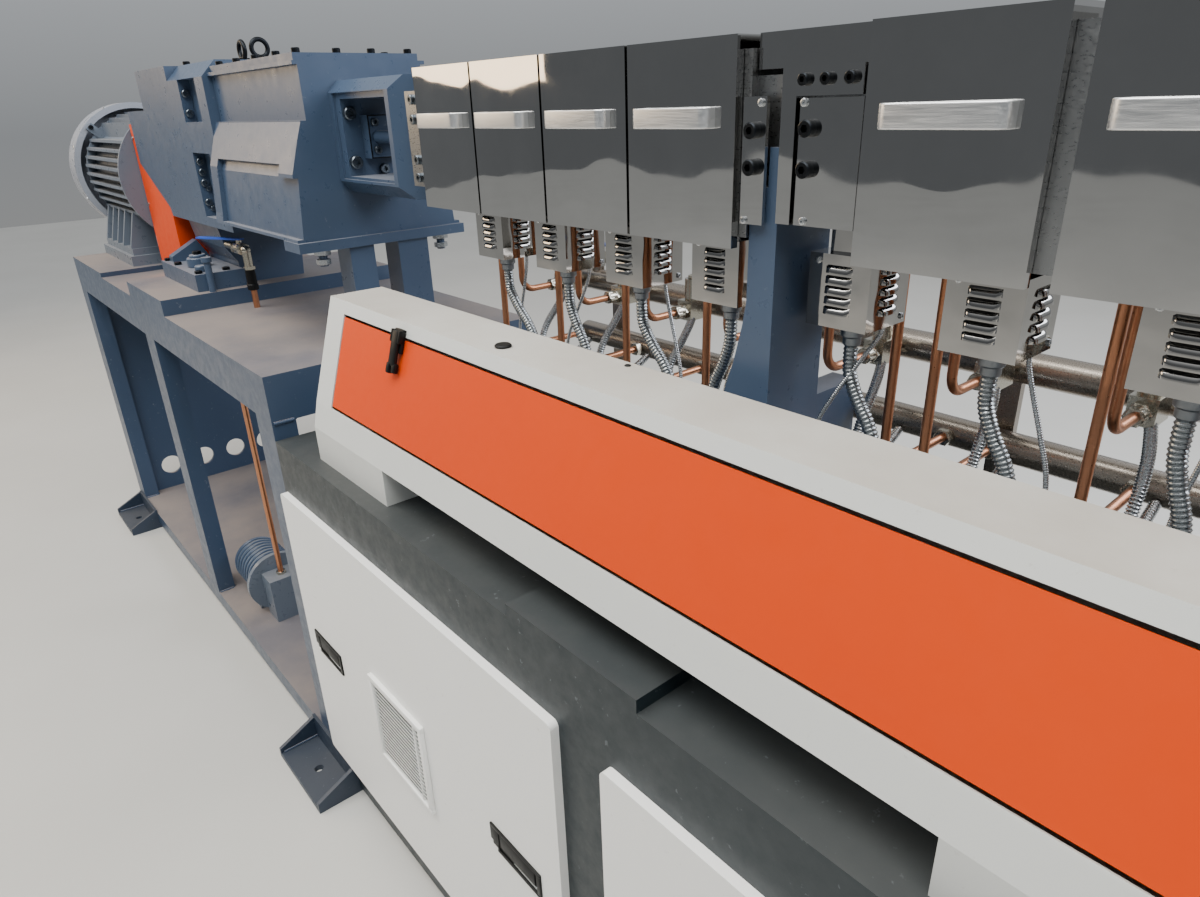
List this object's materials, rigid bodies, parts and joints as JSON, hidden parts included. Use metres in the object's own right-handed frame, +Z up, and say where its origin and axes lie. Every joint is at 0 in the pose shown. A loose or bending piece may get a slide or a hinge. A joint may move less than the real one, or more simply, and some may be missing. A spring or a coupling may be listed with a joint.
{
  "type": "twin-screw plastic extruder",
  "caption": "Twin-screw plastic extruder on a welded base, with motor, gearbox, heated barrel line under mirror covers, and a cable duct with a hinged cover.",
  "frame": {"origin": "on the floor under the middle of the machine's box", "axes": "+X along the screws towards the die, -Y the operator's side, +Z up"},
  "size_m": [4.188, 0.856, 1.67],
  "materials": {
    "base_paint": "blue-grey machine paint, semi-gloss",
    "cabinet_paint": "dark blue-green machine paint, semi-gloss",
    "panel_paint": "off-white powder coat",
    "duct_paint": "light grey powder coat",
    "orange_paint": "orange textured powder coat",
    "motor_paint": "light grey enamel on cast iron",
    "cowl_paint": "pale grey enamel on pressed steel",
    "mirror_steel": "mirror-polished stainless sheet",
    "satin_steel": "brushed stainless and machined steel",
    "dark_steel": "dark cast iron",
    "copper_tube": "drawn copper tube, lightly tarnished",
    "brass": "nickel-plated brass valves",
    "black_plastic": "black nylon",
    "lever_blue": "blue vinyl-dipped steel"
  },
  "bodies": {
    "root": {"gear_deck": "base_paint", "base_legs": "base_paint", "base_end_wall": "base_paint", "base_shelf": "base_paint", "foot_brackets": "base_paint", "barrel_cabinet": "cabinet_paint", "front_panels": "panel_paint", "rear_panels": "panel_paint", "panel_latches": "black_plastic", "air_grilles": "panel_paint", "duct_body": "duct_paint", "duct_feet": "duct_paint", "motor_body": "motor_paint", "motor_cowl": "cowl_paint", "motor_feet": "motor_paint", "coupling_guard": "orange_paint", "shaft_coupling": "satin_steel", "gearbox_adapter": "base_paint", "gearbox_lower": "base_paint", "gearbox_flange": "base_paint", "gearbox_upper": "base_paint", "gearbox_lid": "base_paint", "eyebolts": "dark_steel", "lantern": "base_paint", "lantern_seal": "dark_steel", "gearbox_stand": "base_paint", "oil_filter": "base_paint", "oil_valve": "satin_steel", "oil_pump": "motor_paint", "oil_pipes": "copper_tube", "barrel": "satin_steel", "left_covers": "mirror_steel", "right_covers": "mirror_steel", "cover_handles": "satin_steel", "terminal_boxes": "satin_steel", "wire_conduits": "satin_steel", "water_tubes": "copper_tube", "water_manifolds": "satin_steel", "manifold_valves": "brass", "barrel_pillars": "base_paint", "pillar_flange": "satin_steel", "die_adapter": "satin_steel"},
    "duct_door": {"duct_cover": "orange_paint", "duct_latches": "black_plastic"},
    "oil_lever": {"oil_valve_lever": "lever_blue"},
    "water_lever": {"water_valve_lever": "lever_blue"}
  },
  "joints": [
    {"name": "duct_cover_hinge", "type": "hinge", "parent": "root", "child": "duct_door", "pos_m": [1.107, -0.2781, 1.0032], "axis": [1, 0, 0], "range_deg": [0, 120]},
    {"name": "oil_valve_turn", "type": "hinge", "parent": "root", "child": "oil_lever", "pos_m": [-0.655, -0.112, 1.194], "axis": [0, 0, 1], "range_deg": [0, 90]},
    {"name": "water_valve_turn", "type": "hinge", "parent": "root", "child": "water_lever", "pos_m": [0.389, 0.256, 1.241], "axis": [0, 0, 1], "range_deg": [0, 90]}
  ]
}
